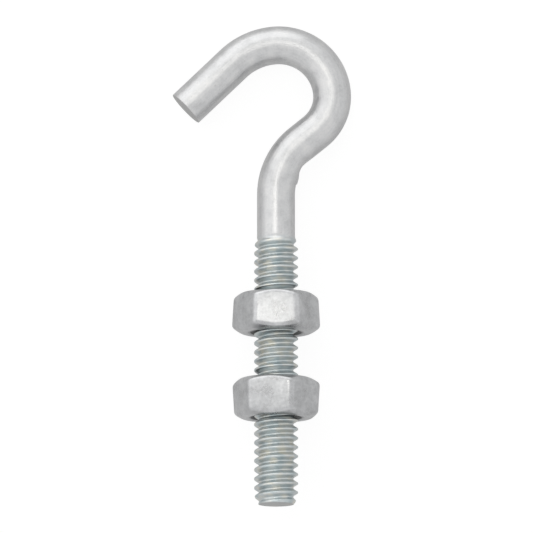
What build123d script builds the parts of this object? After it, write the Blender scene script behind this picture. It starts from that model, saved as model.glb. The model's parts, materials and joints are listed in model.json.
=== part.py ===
"""Hook bolt, also called a J bolt: a 1/4-20 UNC bolt whose end is bent to an open hook,
with its two hex nuts.

The bolt is one piece of cold-formed rod. A thread is rolled on the straight shank, and the rod
above it is bent sideways and round to a hook that is open towards one side. The two nuts run on
the thread and clamp whatever the bolt passes through.

Every piece is drawn in the bolt's own frame, in mm: +Y runs along the shank from the thread's
end to the hook, the hook lies in the XY plane and opens to -X, and +Z is square to that plane.
At the end the whole bolt is laid on the floor the way it comes to rest: on a flat of the upper
nut and on the crown of the hook.
"""

import os
from math import acos, atan2, cos, degrees, hypot, pi, radians, sin, tan

from build123d import *

# Rod and thread: 1/4-20 UNC, rolled on a rod of the thread's pitch diameter
rod_d = 5.33
crest_d = 6.15
pitch = 1.27
threaded_length = 37.8
runout_turns = 1.5  # the crests sink into the rod over these turns
lead_turns = 1.5  # and taper towards the thread's free end over these
lead_end_d = 5.1

# Hook: the centreline is a chain of straight runs and tangent arcs
shank_length = 43.7  # from the thread's end to the first bend
neck_radius = 9.4
neck_angle = 51.0
neck_length = 2.6
loop_radius = 6.4
loop_angle = 57.5
crown_radius = 7.5
crown_angle = 88.7
mouth_radius = 9.4
mouth_angle = 38.8
tail_length = 9.6

# Nuts: 1/4-20 UNC, 7/16 in across flats and 7/32 in high
nut_across_flats = 11.0  # at the wide end
nut_height = 5.56
nut_corner_radius = 0.8
nut_draft = 3.0  # the flats lean in towards one end, as the forming die left them
nut_chamfer_angle = 30.0
nut_face_d = 10.2  # bearing face, inside the coned corners
nut_countersink_d = 7.4
nut_bore_clearance = 0.08  # between the thread's crests and the nut's bore
upper_nut_centre = 26.84  # both from the thread's end
lower_nut_centre = 14.87
lower_nut_turn = 9.2  # round the bolt, from the upper nut, which lies on a flat


def hex_nut(centre, turn, draft_towards_hook):
    """One nut as a solid: a drafted hexagon with round corners, coned ends and a sunk bore.

    centre is its mid-height along the bolt and turn its angle round it. The wide end faces
    the hook where draft_towards_hook is 1 and the thread's end where it is -1.
    """
    corner_r = nut_across_flats / 2 / cos(pi / 6)
    cone_height = (corner_r - nut_face_d / 2) * tan(radians(nut_chamfer_angle))
    bore_r = crest_d / 2 + nut_bore_clearance
    sink_r = nut_countersink_d / 2
    low, high = centre - nut_height / 2, centre + nut_height / 2
    wide_end = Plane(
        origin=(0, centre + draft_towards_hook * nut_height / 2, 0),
        x_dir=(cos(radians(turn)), 0, sin(radians(turn))),
        z_dir=(0, -draft_towards_hook, 0),
    )
    with BuildPart() as nut:
        with BuildSketch(wide_end) as hexagon:
            RegularPolygon(nut_across_flats / 2, 6, major_radius=False)
            fillet(hexagon.vertices(), nut_corner_radius)
        extrude(amount=nut_height, taper=nut_draft)
        with BuildSketch(Plane.XY):
            Polygon(
                (0, low),
                (nut_face_d / 2, low),
                (corner_r, low + cone_height),
                (corner_r, high - cone_height),
                (nut_face_d / 2, high),
                (0, high),
                align=None,
            )
        revolve(axis=Axis.Y, mode=Mode.INTERSECT)
        with BuildSketch(Plane.XY):
            Polygon(
                (0, low),
                (sink_r, low),
                (bore_r, low + sink_r - bore_r),
                (bore_r, high - sink_r + bore_r),
                (sink_r, high),
                (0, high),
                align=None,
            )
        revolve(axis=Axis.Y, mode=Mode.SUBTRACT)
    return nut.part


# Hook bolt: the threaded shank's envelope, and the rod swept along the hook's centreline
lead_length = lead_turns * pitch
runout_length = runout_turns * pitch

with BuildLine() as centreline:
    shank = Line((0, threaded_length), (0, shank_length))
    neck_bend = JernArc(shank @ 1, shank % 1, neck_radius, -neck_angle)
    neck = Line(neck_bend @ 1, neck_bend @ 1 + neck_length * (neck_bend % 1))
    loop = JernArc(neck @ 1, neck % 1, loop_radius, loop_angle)
    crown = JernArc(loop @ 1, loop % 1, crown_radius, crown_angle)
    mouth = JernArc(crown @ 1, crown % 1, mouth_radius, mouth_angle)
    tail = Line(mouth @ 1, mouth @ 1 + tail_length * (mouth % 1))

with BuildPart() as hook_bolt:
    with BuildSketch(Plane.XY):
        Polygon(
            (0, 0),
            (lead_end_d / 2, 0),
            (crest_d / 2, lead_length),
            (crest_d / 2, threaded_length - runout_length),
            (rod_d / 2, threaded_length),
            (0, threaded_length),
            align=None,
        )
    revolve(axis=Axis.Y)
    with BuildSketch(Plane(origin=(0, threaded_length, 0), x_dir=(1, 0, 0), z_dir=(0, 1, 0))):
        Circle(rod_d / 2)
    sweep(path=centreline.line)

upper_nut = hex_nut(upper_nut_centre, 0, -1)
lower_nut = hex_nut(lower_nut_centre, lower_nut_turn, 1)

# Lying pose: the rod's crown and one edge of the upper nut's flat both touch the floor. The
# edge stands edge_r off the bolt's axis and lies reach short of the crown along it.
flat_rise = (nut_across_flats - nut_face_d) / 2 * tan(radians(nut_chamfer_angle))
edge_r = nut_across_flats / 2 - (nut_height - flat_rise) * tan(radians(nut_draft))
crown_top = centreline.line.bounding_box().max.Y
reach = crown_top - (upper_nut_centre + nut_height / 2 - flat_rise)
tilt = degrees(acos(rod_d / 2 / hypot(edge_r, reach)) - atan2(reach, edge_r))

tilted = Location((0, 0, 0), (-tilt, 0, 0))
box = Compound([tilted * p for p in (hook_bolt.part, upper_nut, lower_nut)]).bounding_box()
lying = Location((-box.center().X, -box.center().Y, -box.min.Z)) * tilted

os.makedirs("parts", exist_ok=True)
for label, piece in (
    ("hook_bolt", hook_bolt.part),
    ("upper_nut", upper_nut),
    ("lower_nut", lower_nut),
):
    placed = lying * piece
    placed.label = label
    export_step(placed, f"parts/{label}.step")
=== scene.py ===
"""Looks of the hook bolt: bright zinc plating on a rolled thread, a bent rod and two hex nuts.

Lengths in this script are millimetres in the bolt's own frame until `place` turns them into
metres in the row frame: x to the side that the hook bulges to, y along the shank from the
thread's end, and z square to the plane of the hook.
"""

import json

import bpy
import numpy as np
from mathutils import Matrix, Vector


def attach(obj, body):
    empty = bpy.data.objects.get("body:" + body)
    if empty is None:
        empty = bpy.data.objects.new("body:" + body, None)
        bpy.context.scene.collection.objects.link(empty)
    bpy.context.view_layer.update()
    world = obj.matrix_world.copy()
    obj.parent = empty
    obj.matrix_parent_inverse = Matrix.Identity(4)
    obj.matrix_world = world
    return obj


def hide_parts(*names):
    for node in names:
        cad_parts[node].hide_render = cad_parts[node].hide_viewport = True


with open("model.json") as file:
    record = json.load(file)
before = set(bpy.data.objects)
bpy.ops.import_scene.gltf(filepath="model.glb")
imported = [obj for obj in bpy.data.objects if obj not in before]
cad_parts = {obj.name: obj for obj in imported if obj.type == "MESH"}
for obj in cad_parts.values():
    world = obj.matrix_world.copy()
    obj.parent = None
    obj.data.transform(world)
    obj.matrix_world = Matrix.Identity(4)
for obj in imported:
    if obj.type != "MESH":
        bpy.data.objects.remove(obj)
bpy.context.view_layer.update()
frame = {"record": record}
mounts = {mount["name"]: mount for mount in frame["record"]["mounts"]}

# The bolt's own frame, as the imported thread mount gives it
MM = 0.001
THREAD_END = np.array(mounts["thread"]["pos_m"])
ALONG = -np.array(mounts["thread"]["axis"])
SIDE = np.array([1.0, 0.0, 0.0])
OFF_PLANE = np.cross(SIDE, ALONG)

# Thread
PITCH = 1.27
CREST_R = 3.075
ROOT_R = 2.40
CREST_START = 1.34  # a crest that faces +z, from the thread's end
CREST_HALF = 0.12
FLANK = 0.40
FLANK_SOFTNESS = 0.1
THREADED = 37.8
RUNOUT = 1.9
RUNOUT_REACH = 0.2  # how far past the thread the run-out would sink to nothing
LEAD = 1.15
LEAD_END_R = 2.55
LEAD_SOFTNESS = 0.15

# Rod and hook: runs and bends of the centreline, as (length, turn in degrees, left positive)
ROD_R = 2.665
HOOK_RUNS = (
    (5.9, 0.0),
    (8.37, -51.0),
    (2.6, 0.0),
    (6.42, 57.5),
    (11.61, 88.7),
    (6.37, 38.8),
    (9.24, 0.0),
)
DIE_SEAT = 11.75  # along the centreline from the thread, where the bending die pressed the rod
DIE_DEPTH = 0.34
DIE_REACH = 1.7
DIE_SOFTNESS = 0.04
LEDGE_START = 7.8  # along the centreline, where metal pushed aside by the die stands up
LEDGE_RISE = 0.4
LEDGE_TOP = 1.1
LEDGE_END = 2.9
LEDGE_HEIGHT = 0.15
EASE = 0.6  # half the length over which one run turns into the next
EDGE = 0.06  # how far each end face stands beyond its rim
END_INSETS = (0.992, 0.975, 0.6, 0.3)  # rings of an end face, as shares of its rim
END_RISES = (0.7, 1.0, 1.0, 1.0)  # and how far they stand out, as shares of EDGE

# Nuts
FLATS = 6
NUT_HEIGHT = 5.56
NUT_FLAT_R = 5.5
NUT_CORNER_R = 0.95
NUT_DRAFT = np.radians(3.0)
NUT_CHAMFER = np.radians(30.0)
NUT_FACE_R = 4.85
NUT_SINK_R = 3.7
NUT_MINOR_R = 2.55
NUT_BREAK = 0.45
THREAD_PLAY = 0.06
BORE_INSET = 0.05
BORE_RIM = 0.06  # what lies this far inside the countersink's rim gets painted shade
LEAST_CONE = 0.02
CORNER_SHARE = 0.45  # the most of an edge that a broken corner takes up

# Fineness of the grids
COLUMNS = 96
ROWS_A_TURN = 22
ROD_STEP = 0.16
NUT_COLUMNS_A_FLAT = 26
BORE_ROWS = 90
CORNER_STEPS = (0.0, 0.25, 0.5, 0.75, 1.0)
CONE_ROUNDS = 6

# Looks: linear colours of the film on the thread, and the view
FILM_BLUE = (0.44, 0.51, 0.525, 1.0)
FILM_PALE = (0.55, 0.585, 0.585, 1.0)
FILM_STRAW = (0.635, 0.635, 0.575, 1.0)
FLOOR_HALF = 0.6
FLOOR_GLOW = 1.12
CAMERA_LEAN = np.radians(9.5)
CAMERA_FAR = 0.9
VIEW_WIDTH = 74.44 * MM

# Sockets of a Mix node set to colours, which share their names with its other kinds
MIX_AMOUNT = 0
MIX_A = 6
MIX_B = 7
MIX_RESULT = 2


def place(x, y, z):
    """Points of the bolt's own frame, as rows of metres in the row frame."""
    x, y, z = np.broadcast_arrays(x, y, z)
    return THREAD_END + MM * (x[..., None] * SIDE + y[..., None] * ALONG + z[..., None] * OFF_PLANE)


VIEW_MIDDLE = place(-1.34, 33.49, 0.0)


def station(mount_name):
    """How far along the bolt a mount lies from the thread's end, in mm."""
    return float((np.array(mounts[mount_name]["pos_m"]) - THREAD_END) @ ALONG) / MM


def smooth_step(low, high, value):
    """0 before low, 1 past high, and 3t^2 - 2t^3 between them; low may be the larger."""
    t = np.clip((value - low) / (high - low), 0.0, 1.0)
    return t * t * (3.0 - 2.0 * t)


def soft_clamp(value, softness):
    """value held between 0 and 1, with the two corners rounded to hyperbolas."""
    rise = np.sqrt(value**2 + softness**2)
    fall = np.sqrt((value - 1.0) ** 2 + softness**2)
    return 0.5 * (rise - fall + 1.0)


def soft_min(a, b, softness):
    """The smaller of two values, with the corner between them rounded."""
    return 0.5 * (a + b - np.sqrt((a - b) ** 2 + softness**2))


def thread_radius(y, angle, crest_r=CREST_R):
    """Radius of the right-hand thread at a station and an angle from +x towards +z.

    A turn is a V of 60 degrees between a narrow crest and a narrow root: the radius falls in
    a straight line from one to the other, and both corners are rounded.
    """
    turns = (y - CREST_START) / PITCH - (np.pi / 2 - angle) / (2 * np.pi)
    from_crest = np.abs(turns - np.round(turns)) * PITCH
    rise = soft_clamp(1.0 - (from_crest - CREST_HALF) / FLANK, FLANK_SOFTNESS)
    return ROOT_R + (crest_r - ROOT_R) * rise


def closed_mesh(name, grid, wrap_rows=False, poles=()):
    """A mesh object from a grid of points whose columns close on themselves.

    grid is (rows, columns, 3). Each cell becomes a quad, the last column joins the first, and
    with wrap_rows the last row joins the first too. poles are a point below the first row and
    one above the last, each joined to its row by a fan of triangles.
    """
    rows, columns = grid.shape[:2]
    index = np.arange(rows * columns).reshape(rows, columns)
    upper = np.roll(index, -1, axis=0) if wrap_rows else index[1:]
    lower = index if wrap_rows else index[:-1]
    quads = np.stack(
        [lower, np.roll(lower, -1, axis=1), np.roll(upper, -1, axis=1), upper], axis=-1
    ).reshape(-1, 4)
    faces = quads.tolist()
    points = grid.reshape(-1, 3)
    if len(poles):
        first = np.full(columns, len(points))
        low_fan = np.stack([first, np.roll(index[0], -1), index[0]], axis=-1)
        high_fan = np.stack([first + 1, index[-1], np.roll(index[-1], -1)], axis=-1)
        faces += low_fan.tolist() + high_fan.tolist()
        points = np.vstack([points, poles])
    mesh = bpy.data.meshes.new(name)
    mesh.from_pydata(points.tolist(), [], faces)
    mesh.polygons.foreach_set("use_smooth", np.ones(len(faces), bool))
    mesh.update()
    piece = bpy.data.objects.new(name, mesh)
    bpy.context.scene.collection.objects.link(piece)
    return piece


def store(piece, name, values):
    """Keeps one 3-vector a vertex on the mesh, for a material to read as a named attribute."""
    layer = piece.data.attributes.new(name, "FLOAT_VECTOR", "POINT")
    layer.data.foreach_set("vector", np.ascontiguousarray(values, dtype=np.float32).ravel())


def hook_centreline():
    """Stations of the bent rod: distance, place and heading in the plane of the hook.

    The heading turns evenly along each run, and a moving average eases it where two runs
    meet. The place is the running sum of the heading's sine and cosine.
    """
    ends = np.cumsum([0.0] + [length for length, _ in HOOK_RUNS])
    turned = np.radians(np.cumsum([0.0] + [turn for _, turn in HOOK_RUNS]))
    distance = np.linspace(0.0, ends[-1], int(ends[-1] / ROD_STEP) + 1)
    pace = distance[1]
    ease = np.hanning(2 * int(EASE / pace) + 3)
    heading = np.pad(np.interp(distance, ends, turned), len(ease) // 2, mode="edge")
    heading = np.convolve(heading, ease / ease.sum(), "valid")
    east, north = -np.sin(heading), np.cos(heading)
    x = np.concatenate([[0.0], np.cumsum((east[1:] + east[:-1]) * pace / 2)])
    y = np.concatenate([[0.0], np.cumsum((north[1:] + north[:-1]) * pace / 2)])
    return distance, x, y + THREADED, heading


def hook_bolt():
    """The whole bolt as one skin: thread, shank, hook and the two sheared ends.

    A ring of points is carried along the centreline. Its radius is the thread's below the
    run-out and the rod's above it, pressed flat on the inside of the first bend by the die.
    """
    angle = np.linspace(0.0, 2 * np.pi, COLUMNS, endpoint=False)[None, :]

    # Threaded shank, from the end face's rim to the rod. Its crests rise over the lead, and the
    # whole ridge sinks into the rod over the run-out.
    y = np.arange(EDGE, THREADED, PITCH / ROWS_A_TURN)[:, None]
    lead = soft_min(CREST_R, LEAD_END_R + (CREST_R - LEAD_END_R) * y / LEAD, LEAD_SOFTNESS)
    ridge = thread_radius(y, angle, lead)
    fade = smooth_step(THREADED + RUNOUT_REACH, THREADED - RUNOUT, y)
    radius = ROD_R + (ridge - ROD_R) * fade
    shank = place(radius * np.cos(angle), y, radius * np.sin(angle))
    shank_rod = np.stack(
        [radius * np.cos(angle), np.broadcast_to(y, radius.shape), radius * np.sin(angle)], axis=-1
    )

    # Bent rod: x and y of the ring lie along the heading's right-hand side
    distance, cx, cy, heading = (values[:, None] for values in hook_centreline())
    pressed = DIE_DEPTH * np.exp(-(((distance - DIE_SEAT) / DIE_REACH) ** 2))
    facing = np.clip(np.cos(angle), 1e-3, 1.0)
    radius = soft_min(ROD_R, (ROD_R - pressed) / facing, DIE_SOFTNESS)
    past = distance - LEDGE_START
    ledge = smooth_step(0.0, LEDGE_RISE, past) * smooth_step(LEDGE_END, LEDGE_TOP, past)
    radius = radius + LEDGE_HEIGHT * ledge * np.clip(np.cos(angle), 0.0, 1.0) ** 3
    across, off = radius * np.cos(angle), radius * np.sin(angle)
    hook = place(cx + across * np.cos(heading), cy + across * np.sin(heading), off)
    hook_rod = np.stack([across, np.broadcast_to(distance + THREADED, across.shape), off], axis=-1)

    # End faces: the rim is broken by a small round, then the face runs in to its middle
    def end_rings(rim, middle, outwards):
        inset = np.array(END_INSETS)[:, None, None]
        rise = np.array(END_RISES)[:, None, None] * EDGE * MM
        return middle + (rim - middle) * inset + outwards * rise

    tail_mid = place(cx[-1], cy[-1], 0.0)[0]
    tail_out = -np.sin(heading[-1]) * SIDE + np.cos(heading[-1]) * ALONG
    low_mid = place(0.0, EDGE, 0.0)
    low = end_rings(shank[0], low_mid, -ALONG)[::-1]
    high = end_rings(hook[-1], tail_mid, tail_out)

    grid = np.concatenate([low, shank, hook, high])
    poles = np.array([low_mid - ALONG * EDGE * MM, tail_mid + tail_out * EDGE * MM])
    piece = closed_mesh("hook_bolt_plated", grid[:, ::-1], poles=poles)
    rings = len(END_INSETS)
    low_rod = np.repeat(shank_rod[:1], rings, axis=0)
    high_rod = np.repeat(hook_rod[-1:], rings, axis=0)
    straight = np.concatenate([low_rod, shank_rod, hook_rod, high_rod])[:, ::-1].reshape(-1, 3)
    store(piece, "rod", np.vstack([straight, [[0, 0, 0], [0, straight[:, 1].max(), 0]]]))
    # Marks the rings of both end faces, which the material darkens with partly painted shade and
    # roughens
    cut = np.zeros(grid.shape)
    cut[: rings - 1] = 1.0
    cut[1 - rings :] = 1.0
    store(piece, "cut_face", np.vstack([cut.reshape(-1, 3), np.ones((2, 3))]))
    return piece


def hexagon_radius(angle, flat_r):
    """Radius of a hexagon with round corners, whose flats face +z and every 60 degrees.

    Along a flat it is the flat's distance over the cosine of the angle from its middle, and
    round a corner it is the far crossing of the ray with the corner's circle.
    """
    from_flat = (angle - np.pi / 2 + np.pi / 6) % (np.pi / 3) - np.pi / 6
    centre = (flat_r - NUT_CORNER_R) / np.cos(np.pi / 6)
    from_corner = np.pi / 6 - np.abs(from_flat)
    reach = NUT_CORNER_R**2 - (centre * np.sin(from_corner)) ** 2
    corner = centre * np.cos(from_corner) + np.sqrt(np.maximum(reach, 0.0))
    flat_ends = np.arctan2((flat_r - NUT_CORNER_R) * np.tan(np.pi / 6), flat_r)
    return np.where(np.abs(from_flat) < flat_ends, flat_r / np.cos(from_flat), corner)


def rounded(profile, radius):
    """Breaks each corner of a profile by a short curve.

    profile is (points, columns, 2). Each corner becomes a quadratic curve from a point a
    radius before it to a point a radius after it, with the corner as its control point.
    """
    before = np.roll(profile, 1, axis=0) - profile
    after = np.roll(profile, -1, axis=0) - profile
    long_before = np.linalg.norm(before, axis=-1, keepdims=True)
    long_after = np.linalg.norm(after, axis=-1, keepdims=True)
    start = profile + before / long_before * np.minimum(radius, CORNER_SHARE * long_before)
    end = profile + after / long_after * np.minimum(radius, CORNER_SHARE * long_after)
    curves = [
        (1 - t) ** 2 * start + 2 * t * (1 - t) * profile + t**2 * end
        for t in CORNER_STEPS
    ]
    return np.stack(curves, axis=1).reshape(-1, *profile.shape[1:])


def nut(name, face_mount, turn, towards_hook):
    """One nut as a ring of profiles: the outside with its cones, both faces and the threaded bore.

    The face mount is at the wide end. Each cone meets a flat where the cone's radius equals
    the hexagon's, which is found by a few rounds of substitution because the flats lean.
    """
    wide = station(face_mount)
    inwards = -1.0 if towards_hook else 1.0
    step = np.linspace(0.0, 1.0, NUT_COLUMNS_A_FLAT + 1)[:-1]
    spaced = (np.arange(FLATS)[:, None] + step[None, :]).ravel() * np.pi / 3
    angle = spaced[None, :] + np.radians(turn)
    hex_angle = spaced[None, :]

    def flat_r(depth):
        return NUT_FLAT_R - depth * np.tan(NUT_DRAFT)

    def cone_meets_flat(from_narrow_end):
        depth = np.zeros_like(angle) + (NUT_HEIGHT if from_narrow_end else 0.0)
        for _ in range(CONE_ROUNDS):
            rise = (hexagon_radius(hex_angle, flat_r(depth)) - NUT_FACE_R) * np.tan(NUT_CHAMFER)
            rise = np.maximum(rise, LEAST_CONE)
            depth = NUT_HEIGHT - rise if from_narrow_end else rise
        return hexagon_radius(hex_angle, flat_r(depth)), depth

    near_r, near = cone_meets_flat(False)
    far_r, far = cone_meets_flat(True)
    even = np.ones_like(angle)
    outside = np.stack(
        [
            np.stack([NUT_SINK_R * even, 0.0 * even], -1),
            np.stack([NUT_FACE_R * even, 0.0 * even], -1),
            np.stack([near_r, near], -1),
            np.stack([far_r, far], -1),
            np.stack([NUT_FACE_R * even, NUT_HEIGHT * even], -1),
            np.stack([NUT_SINK_R * even, NUT_HEIGHT * even], -1),
        ]
    )[:, 0]
    outside = rounded(outside, NUT_BREAK)
    bore_y = np.linspace(NUT_HEIGHT - BORE_INSET, BORE_INSET, BORE_ROWS)[:, None]
    threaded = np.maximum(
        thread_radius(wide + inwards * bore_y, angle) + THREAD_PLAY, NUT_MINOR_R
    )
    mouth = NUT_SINK_R - np.minimum(bore_y, NUT_HEIGHT - bore_y)
    bore = np.stack([np.maximum(threaded, mouth), np.broadcast_to(bore_y, threaded.shape)], -1)
    profile = np.concatenate([outside, bore])
    radius, depth = profile[..., 0], profile[..., 1]
    grid = place(radius * np.cos(angle), wide + inwards * depth, radius * np.sin(angle))
    # The threaded bore and the inside of the countersink, marked for painted shade in their colour
    bore_painted_shade = np.repeat((radius < NUT_SINK_R - BORE_RIM)[..., None], 3, axis=-1).astype(float)
    if towards_hook:
        grid = grid[:, ::-1]
        bore_painted_shade = bore_painted_shade[:, ::-1]
    piece = closed_mesh(name, grid, wrap_rows=True)
    store(piece, "bore_shade_mask", bore_painted_shade)
    return piece


class Socket:
    """A shader value that takes Python arithmetic, each operation adding one Math node."""

    def __init__(self, paint, link):
        self.paint = paint
        self.link = link

    def _with(self, operation, *values):
        return self.paint.node("ShaderNodeMath", {"operation": operation}, values)

    def __add__(self, other):
        return self._with("ADD", self, other)

    def __radd__(self, other):
        return self._with("ADD", other, self)

    def __sub__(self, other):
        return self._with("SUBTRACT", self, other)

    def __rsub__(self, other):
        return self._with("SUBTRACT", other, self)

    def __mul__(self, other):
        return self._with("MULTIPLY", self, other)

    def __rmul__(self, other):
        return self._with("MULTIPLY", other, self)


class Paint:
    """The node tree of a material or a world, written as expressions."""

    def __init__(self, owner):
        owner.use_nodes = True
        self.owner = owner
        self.tree = owner.node_tree

    def surface(self, **values):
        """Feeds the Principled shader's inputs, named with _ for each space."""
        shader = self.tree.nodes["Principled BSDF"]
        for key, value in values.items():
            self.feed(shader.inputs[key.replace("_", " ")], value)

    def node(self, kind, settings=None, inputs=(), output=0):
        """Adds a node, applies its settings, fills its sockets and gives one output."""
        made = self.tree.nodes.new(kind)
        for key, value in (settings or {}).items():
            if key == "stops":
                ramp = made.color_ramp.elements
                for i, (at, colour) in enumerate(value):
                    stop = ramp[i] if i < 2 else ramp.new(at)
                    stop.position = at
                    stop.color = colour
            else:
                setattr(made, key, value)
        pairs = inputs.items() if isinstance(inputs, dict) else enumerate(inputs)
        for key, value in pairs:
            self.feed(made.inputs[key], value)
        return Socket(self, made.outputs[output])

    def feed(self, socket, value):
        """Links a Socket to an input, or sets a plain value on it."""
        if isinstance(value, Socket):
            self.tree.links.new(value.link, socket)
        else:
            socket.default_value = value

    def noise(self, where, scale, detail=2.0, roughness=0.5):
        return self.node(
            "ShaderNodeTexNoise",
            {},
            {"Vector": where, "Scale": scale, "Detail": detail, "Roughness": roughness},
        )

    def ramp(self, value, *stops):
        return self.node("ShaderNodeValToRGB", {"stops": stops}, {"Fac": value})

    def mix(self, amount, a, b):
        values = {MIX_AMOUNT: amount, MIX_A: a, MIX_B: b}
        return self.node("ShaderNodeMix", {"data_type": "RGBA"}, values, output=MIX_RESULT)

    def ease(self, value, low, high):
        return self.node(
            "ShaderNodeMapRange",
            {"interpolation_type": "SMOOTHSTEP"},
            {"Value": value, "From Min": low, "From Max": high},
        )

    def stretched(self, where, scale):
        return self.node("ShaderNodeMapping", {}, {"Vector": where, "Scale": scale})

    def bump(self, height, strength, distance):
        return self.node(
            "ShaderNodeBump", {}, {"Strength": strength, "Distance": distance, "Height": height}
        )

    def ray(self, kind):
        return self.node("ShaderNodeLightPath", output=f"Is {kind} Ray")


def grey(level, warmth=0.0):
    """A near-neutral linear colour, warmer where warmth is above 0."""
    return (level * (1 + warmth), level, level * (1 - 1.5 * warmth), 1.0)


def zinc_rod():
    """Bright zinc on drawn rod, with a film that tints the thread and dulls the bent part."""
    paint = Paint(bpy.data.materials.new("zinc_on_rod"))
    rod = paint.node("ShaderNodeAttribute", {"attribute_name": "rod"}, output="Vector")
    cut = paint.node("ShaderNodeAttribute", {"attribute_name": "cut_face"}, output="Fac")
    along = paint.node("ShaderNodeSeparateXYZ", {}, (rod,), output="Y")
    bent = paint.ease(along, 44.0, 50.0)
    threaded = 1.0 - paint.ease(along, 36.5, 38.0)

    lines = paint.noise(paint.stretched(rod, (3.0, 0.12, 3.0)), 1.6, 3.0)
    clouds = paint.noise(rod, 0.55, 3.0, 0.6)
    grain = paint.noise(rod, 3.4, 4.0, 0.65)
    pits = paint.ramp(paint.noise(rod, 2.2, 2.0), (0.64, grey(0.0)), (0.72, grey(1.0)))
    tone = clouds * 0.5 + lines * 0.2 + grain * 0.3
    plating = paint.ramp(
        tone, (0.32, grey(0.45, -0.006)), (0.5, grey(0.56, -0.006)), (0.66, grey(0.63, 0.004))
    )
    plating = paint.mix(pits * 0.3, plating, grey(0.36))
    film = paint.ramp(
        paint.noise(paint.stretched(rod, (0.5, 0.9, 0.5)), 1.4, 3.0),
        (0.38, FILM_BLUE),
        (0.52, FILM_PALE),
        (0.64, FILM_STRAW),
    )
    colour = paint.mix(threaded * 0.8, plating, film)
    # Darker end faces: partly the duller sheared metal, partly painted shade standing in for the
    # shadowed floor that they reflect
    colour = paint.mix(cut * 0.8, colour, grey(0.38, 0.004))
    height = (lines * 0.4 + grain * 0.6) * (0.45 + 0.65 * bent)
    paint.surface(
        Base_Color=colour,
        Metallic=1.0,
        Roughness=0.27 + 0.12 * clouds + 0.02 * bent + 0.15 * cut,
        Normal=paint.bump(height, 0.45, 0.0001),
    )
    return paint.owner


def zinc_nut():
    """Bright zinc on cold-formed nuts, blotchy, with painted shade that turns the threaded bore and
    countersink near black.
    """
    paint = Paint(bpy.data.materials.new("zinc_on_nuts"))
    place_on = paint.node("ShaderNodeTexCoord", output="Object")
    bore_shade_mask = paint.node("ShaderNodeAttribute", {"attribute_name": "bore_shade_mask"}, output="Fac")
    clouds = paint.noise(place_on, 420.0, 4.0, 0.6)
    grain = paint.noise(place_on, 2600.0, 4.0, 0.65)
    pits = paint.ramp(paint.noise(place_on, 2100.0, 2.0), (0.63, grey(0.0)), (0.71, grey(1.0)))
    tone = clouds * 0.6 + grain * 0.4
    plating = paint.ramp(
        tone, (0.36, grey(0.38, -0.008)), (0.5, grey(0.475, -0.012)), (0.62, grey(0.56, -0.01))
    )
    plating = paint.mix(pits * 0.2, plating, grey(0.3, 0.01))
    # Painted shade: the bore and countersink go near black, standing in for the shade inside them
    colour = paint.mix(bore_shade_mask * 0.85, plating, grey(0.08))
    paint.surface(
        Base_Color=colour,
        Metallic=1.0,
        Roughness=0.2 + 0.18 * clouds + 0.15 * bore_shade_mask,
        Normal=paint.bump(tone, 0.2, 0.00012),
    )
    return paint.owner


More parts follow.
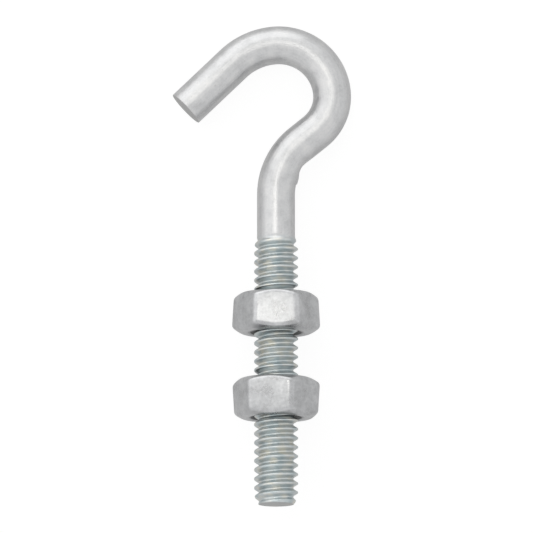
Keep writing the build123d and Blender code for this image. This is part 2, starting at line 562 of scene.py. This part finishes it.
def studio():
    """A pale floor, a white surround and three soft lamps above the bolt."""
    floor_mesh = bpy.data.meshes.new("floor")
    corners = FLOOR_HALF * np.array([(-1, -1, 0), (1, -1, 0), (1, 1, 0), (-1, 1, 0)])
    floor_mesh.from_pydata(corners.tolist(), [], [(0, 1, 2, 3)])
    floor = bpy.data.objects.new("floor", floor_mesh)
    bpy.context.scene.collection.objects.link(floor)
    paint = Paint(bpy.data.materials.new("pale_floor"))
    paint.surface(Base_Color=(0.8, 0.8, 0.8, 1.0), Roughness=0.9)
    glow = paint.node("ShaderNodeEmission", {}, {"Color": (1, 1, 1, 1), "Strength": FLOOR_GLOW})
    matt = Socket(paint, paint.tree.nodes["Principled BSDF"].outputs[0])
    share = paint.ray("Camera") * 0.82 + paint.ray("Glossy") * 0.36
    mixed = paint.node("ShaderNodeMixShader", {}, (share, matt, glow))
    paint.feed(paint.tree.nodes["Material Output"].inputs["Surface"], mixed)
    floor_mesh.materials.append(paint.owner)

    sky = Paint(bpy.data.worlds.new("surround"))
    bpy.context.scene.world = sky.owner
    seen = sky.ray("Camera") + sky.ray("Glossy") + sky.ray("Transmission")
    background = sky.tree.nodes["Background"]
    background.inputs["Color"].default_value = (1, 1, 1, 1)
    sky.feed(background.inputs["Strength"], 0.55 + 0.45 * seen)

    lamps = (
        ("overhead_box", (-0.09, 0.18, 1.0), 0.8, (0.22, 0.2), 2.25, (1.0, 0.98, 0.92)),
        ("left_softbox", (-0.72, 0.15, 0.69), 0.8, (0.8, 0.7), 0.32, (1.0, 0.99, 0.97)),
        ("top_softbox", (-0.22, 0.9, 0.42), 0.9, (1.0, 1.05), 0.72, (1.0, 1.0, 0.99)),
    )
    for name, (side, along, off), far, (wide, tall), radiance, colour in lamps:
        lamp = bpy.data.lights.new(name, "AREA")
        lamp.shape = "RECTANGLE"
        lamp.size = wide
        lamp.size_y = tall
        lamp.energy = np.pi * wide * tall * radiance
        lamp.color = colour
        direction = side * SIDE + along * ALONG + off * OFF_PLANE
        direction = direction / np.linalg.norm(direction)
        body = bpy.data.objects.new(name, lamp)
        body.location = VIEW_MIDDLE + direction * far
        body.rotation_euler = Vector(-direction).to_track_quat("-Z", "Y").to_euler()
        bpy.context.scene.collection.objects.link(body)


def camera():
    """A long lens square to the shank, leaning a little towards the thread's end."""
    look_from = np.cos(CAMERA_LEAN) * OFF_PLANE - np.sin(CAMERA_LEAN) * ALONG
    data = bpy.data.cameras.new("camera")
    data.lens = CAMERA_FAR / VIEW_WIDTH * data.sensor_width
    body = bpy.data.objects.new("camera", data)
    body.location = VIEW_MIDDLE + look_from * CAMERA_FAR
    body.rotation_euler = Vector(-look_from).to_track_quat("-Z", "Y").to_euler()
    bpy.context.scene.collection.objects.link(body)
    bpy.context.scene.camera = body


bpy.context.scene.view_settings.view_transform = "Standard"

bolt = hook_bolt()
bolt.data.materials.append(zinc_rod())
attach(bolt, "bolt")
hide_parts("hook_bolt")

nut_finish = zinc_nut()
for node, turn, towards_hook in (("upper_nut", 0.0, False), ("lower_nut", 9.2, True)):
    dressed = nut(f"{node}_plated", f"{node}_face", turn, towards_hook)
    dressed.data.materials.append(nut_finish)
    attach(dressed, node)
    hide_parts(node)

studio()
camera()
